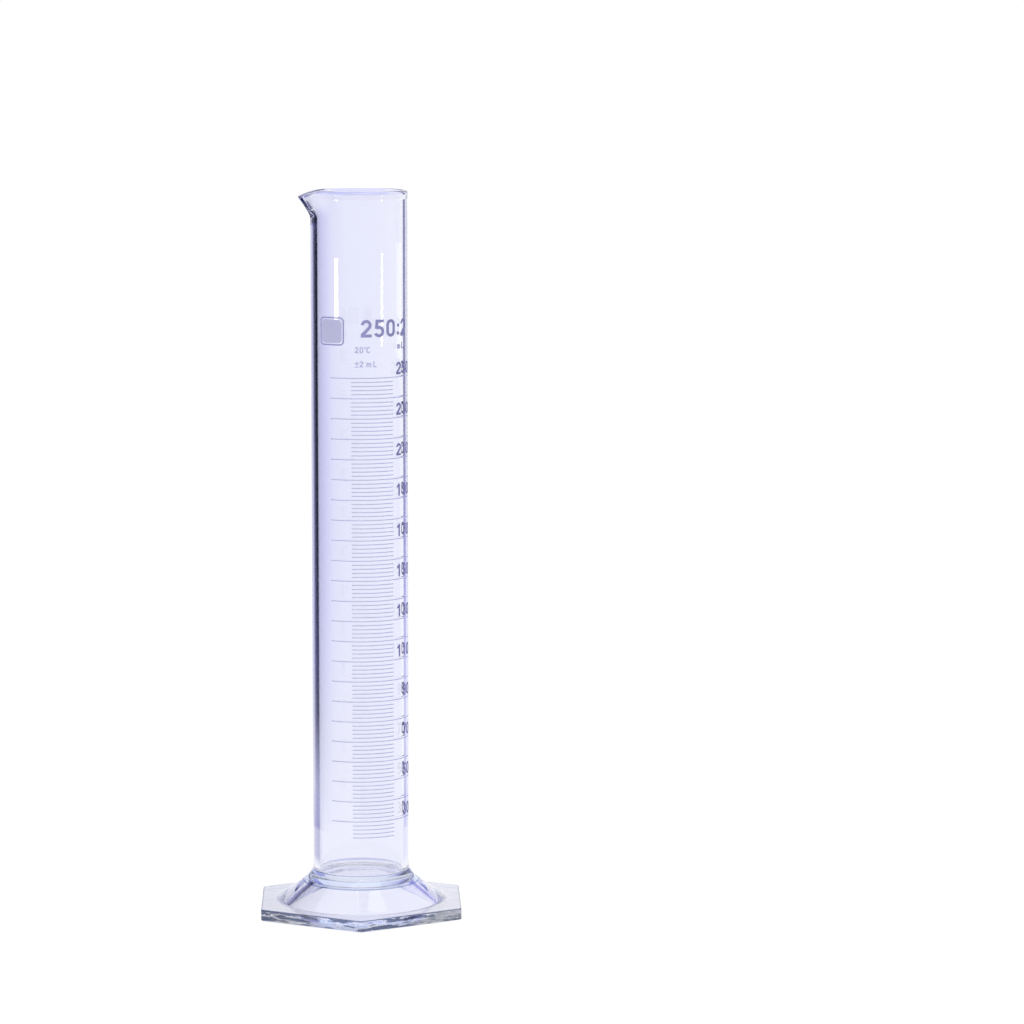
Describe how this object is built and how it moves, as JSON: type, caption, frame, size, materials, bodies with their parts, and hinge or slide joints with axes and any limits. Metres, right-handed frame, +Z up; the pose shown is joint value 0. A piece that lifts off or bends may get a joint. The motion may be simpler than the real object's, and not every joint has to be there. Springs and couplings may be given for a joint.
{
  "type": "graduated cylinder",
  "caption": "Tall glass measuring cylinder with a pouring spout, a fired-on millilitre scale and a pressed hexagonal foot, for mixing photographic chemicals.",
  "frame": {"origin": "on the tube's axis at table level, which is the bottom centre of the object's box", "axes": "+Z up the tube's axis and out of its mouth; -Y is the side that the scale faces; -X is the direction of the spout; two corners of the hexagonal foot lie on the Y axis"},
  "size_m": [0.0884, 0.1014, 0.3203],
  "materials": {
    "drawn_glass": "clear drawn glass with a fire-polished rim, very slightly violet",
    "seal_glass": "clear glass, melted smooth",
    "pressed_glass": "clear pressed glass, fire-polished, with soft mould edges",
    "scale_enamel": "grey-violet enamel fired into the glass, satin",
    "pale_enamel": "pale grey-violet enamel, matt enough to take a pencil"
  },
  "bodies": {
    "root": {"measuring_tube": "drawn_glass", "seal_ring": "seal_glass", "hexagonal_foot": "pressed_glass", "marking_patch": "pale_enamel", "major_graduations": "scale_enamel", "minor_graduations": "scale_enamel", "capacity_inscription": "scale_enamel", "unit_mark": "scale_enamel", "temperature_note": "scale_enamel", "tolerance_note": "scale_enamel", "patch_border": "scale_enamel", "figure_250": "scale_enamel", "figure_230": "scale_enamel", "figure_210": "scale_enamel", "figure_190": "scale_enamel", "figure_170": "scale_enamel", "figure_150": "scale_enamel", "figure_130": "scale_enamel", "figure_110": "scale_enamel", "figure_90": "scale_enamel", "figure_70": "scale_enamel", "figure_50": "scale_enamel", "figure_30": "scale_enamel"}
  },
  "joints": []
}
